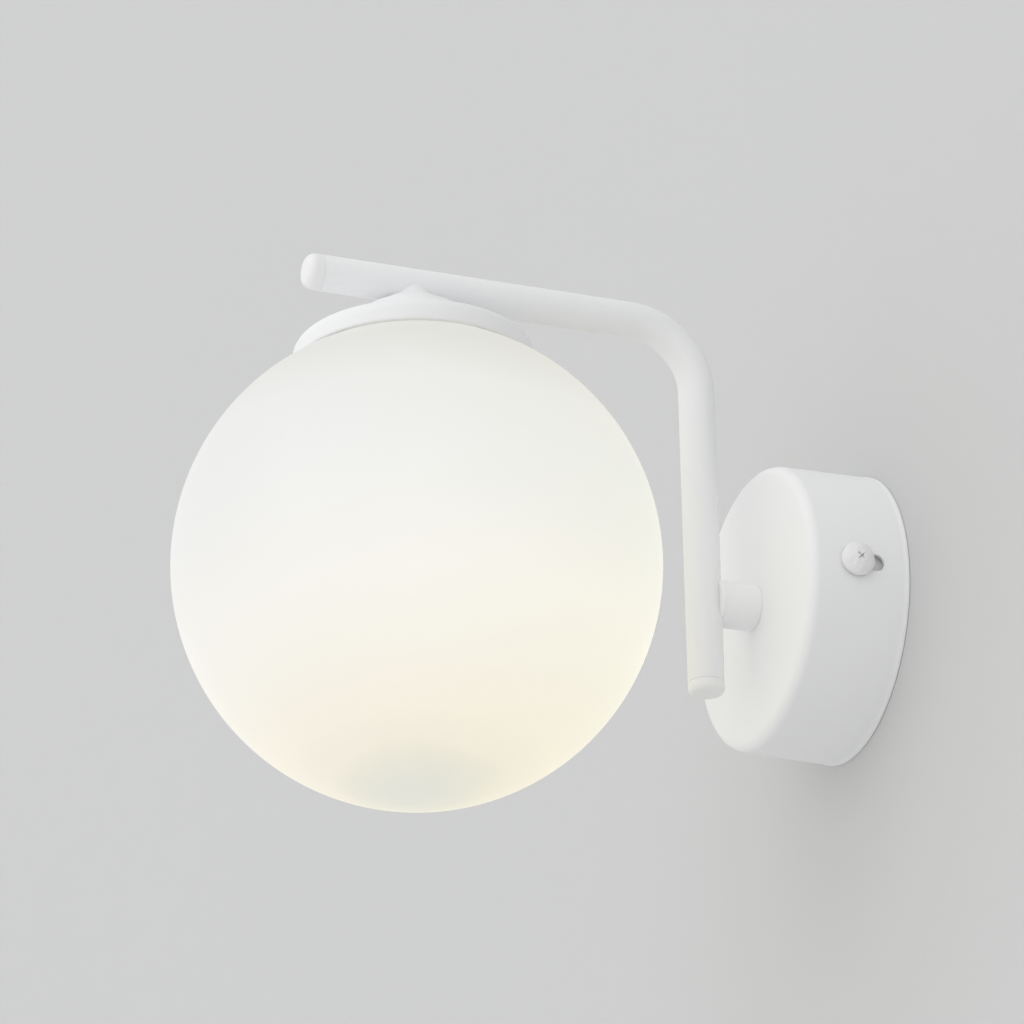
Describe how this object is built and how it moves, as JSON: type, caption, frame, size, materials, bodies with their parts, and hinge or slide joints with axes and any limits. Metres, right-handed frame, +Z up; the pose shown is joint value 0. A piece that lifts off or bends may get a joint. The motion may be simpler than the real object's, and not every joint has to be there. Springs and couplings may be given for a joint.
{
  "type": "globe wall sconce",
  "caption": "Wall light with a round canopy, a bent tube arm and an opal glass globe hanging from a shallow spun dish.",
  "frame": {"origin": "centre of the canopy's back, on the wall plane", "axes": "+Z up, +Y into the wall, -Y into the room, +X to the right for someone facing the wall"},
  "size_m": [0.15, 0.2192, 0.1751],
  "materials": {
    "white_coat": "fine matt powder coat",
    "cap_coat": "satin paint",
    "zinc": "bright zinc plated",
    "steel": "plain steel",
    "spring": "spring steel",
    "brass": "turned",
    "bronze": "phosphor bronze strip",
    "block": "moulded",
    "rubber": "moulded",
    "silicone": "translucent white",
    "ceramic": "glazed steatite",
    "lamp_base": "moulded",
    "frosted": "frosted",
    "board": "coated board",
    "phosphor": "phosphor gel",
    "opal": "satin etched opal",
    "insulation_brown": "extruded",
    "insulation_blue": "extruded",
    "insulation_earth": "extruded"
  },
  "bodies": {
    "wall_bar": {"wall_bracket": "zinc", "mains_grommet": "rubber"},
    "fixture": {"canopy_cup": "white_coat", "terminal_plate": "zinc", "terminal_block": "block", "terminal_sleeves": "brass", "terminal_screws": "zinc", "terminal_fixing_screw": "zinc", "earth_screw": "zinc", "earth_lug": "brass", "entry_nipple": "zinc", "entry_nut": "zinc", "entry_washer": "steel", "stub_collar": "white_coat", "stub_saddle": "white_coat", "arm_tube": "white_coat", "rod_cap": "cap_coat", "tube_cap": "cap_coat", "neck_boss": "white_coat", "holder_cup": "white_coat", "holder_nipple": "zinc", "distance_sleeve": "zinc", "holder_nut": "zinc", "spring_plate": "zinc", "globe_springs": "spring", "spring_rivets": "steel", "seat_ring": "silicone", "lampholder_bracket": "zinc", "lampholder_body": "ceramic", "lampholder_contacts": "bronze", "lampholder_screws": "zinc", "wire_live": "insulation_brown", "wire_neutral": "insulation_blue", "wire_earth": "insulation_earth"},
    "globe": {"globe_glass": "opal"},
    "lamp": {"bulb_base": "lamp_base", "bulb_pins": "steel", "bulb_envelope": "frosted", "led_board": "board", "led_chips": "phosphor"},
    "screw_right": {"canopy_screw_right": "zinc"},
    "screw_left": {"canopy_screw_left": "zinc"}
  },
  "joints": [
    {"name": "canopy_slide", "type": "slide", "parent": "wall_bar", "child": "fixture", "axis": [0, -1, 0], "range_m": [0, 0.0065]},
    {"name": "globe_pull", "type": "slide", "parent": "fixture", "child": "globe", "axis": [0, 0, -1], "range_m": [0, 0.11]},
    {"name": "lamp_pull", "type": "slide", "parent": "fixture", "child": "lamp", "axis": [0, 0, -1], "range_m": [0, 0.013]},
    {"name": "screw_right_out", "type": "slide", "parent": "wall_bar", "child": "screw_right", "axis": [1, 0, 0], "range_m": [0, 0.012]},
    {"name": "screw_left_out", "type": "slide", "parent": "wall_bar", "child": "screw_left", "axis": [-1, 0, 0], "range_m": [0, 0.012]}
  ]
}
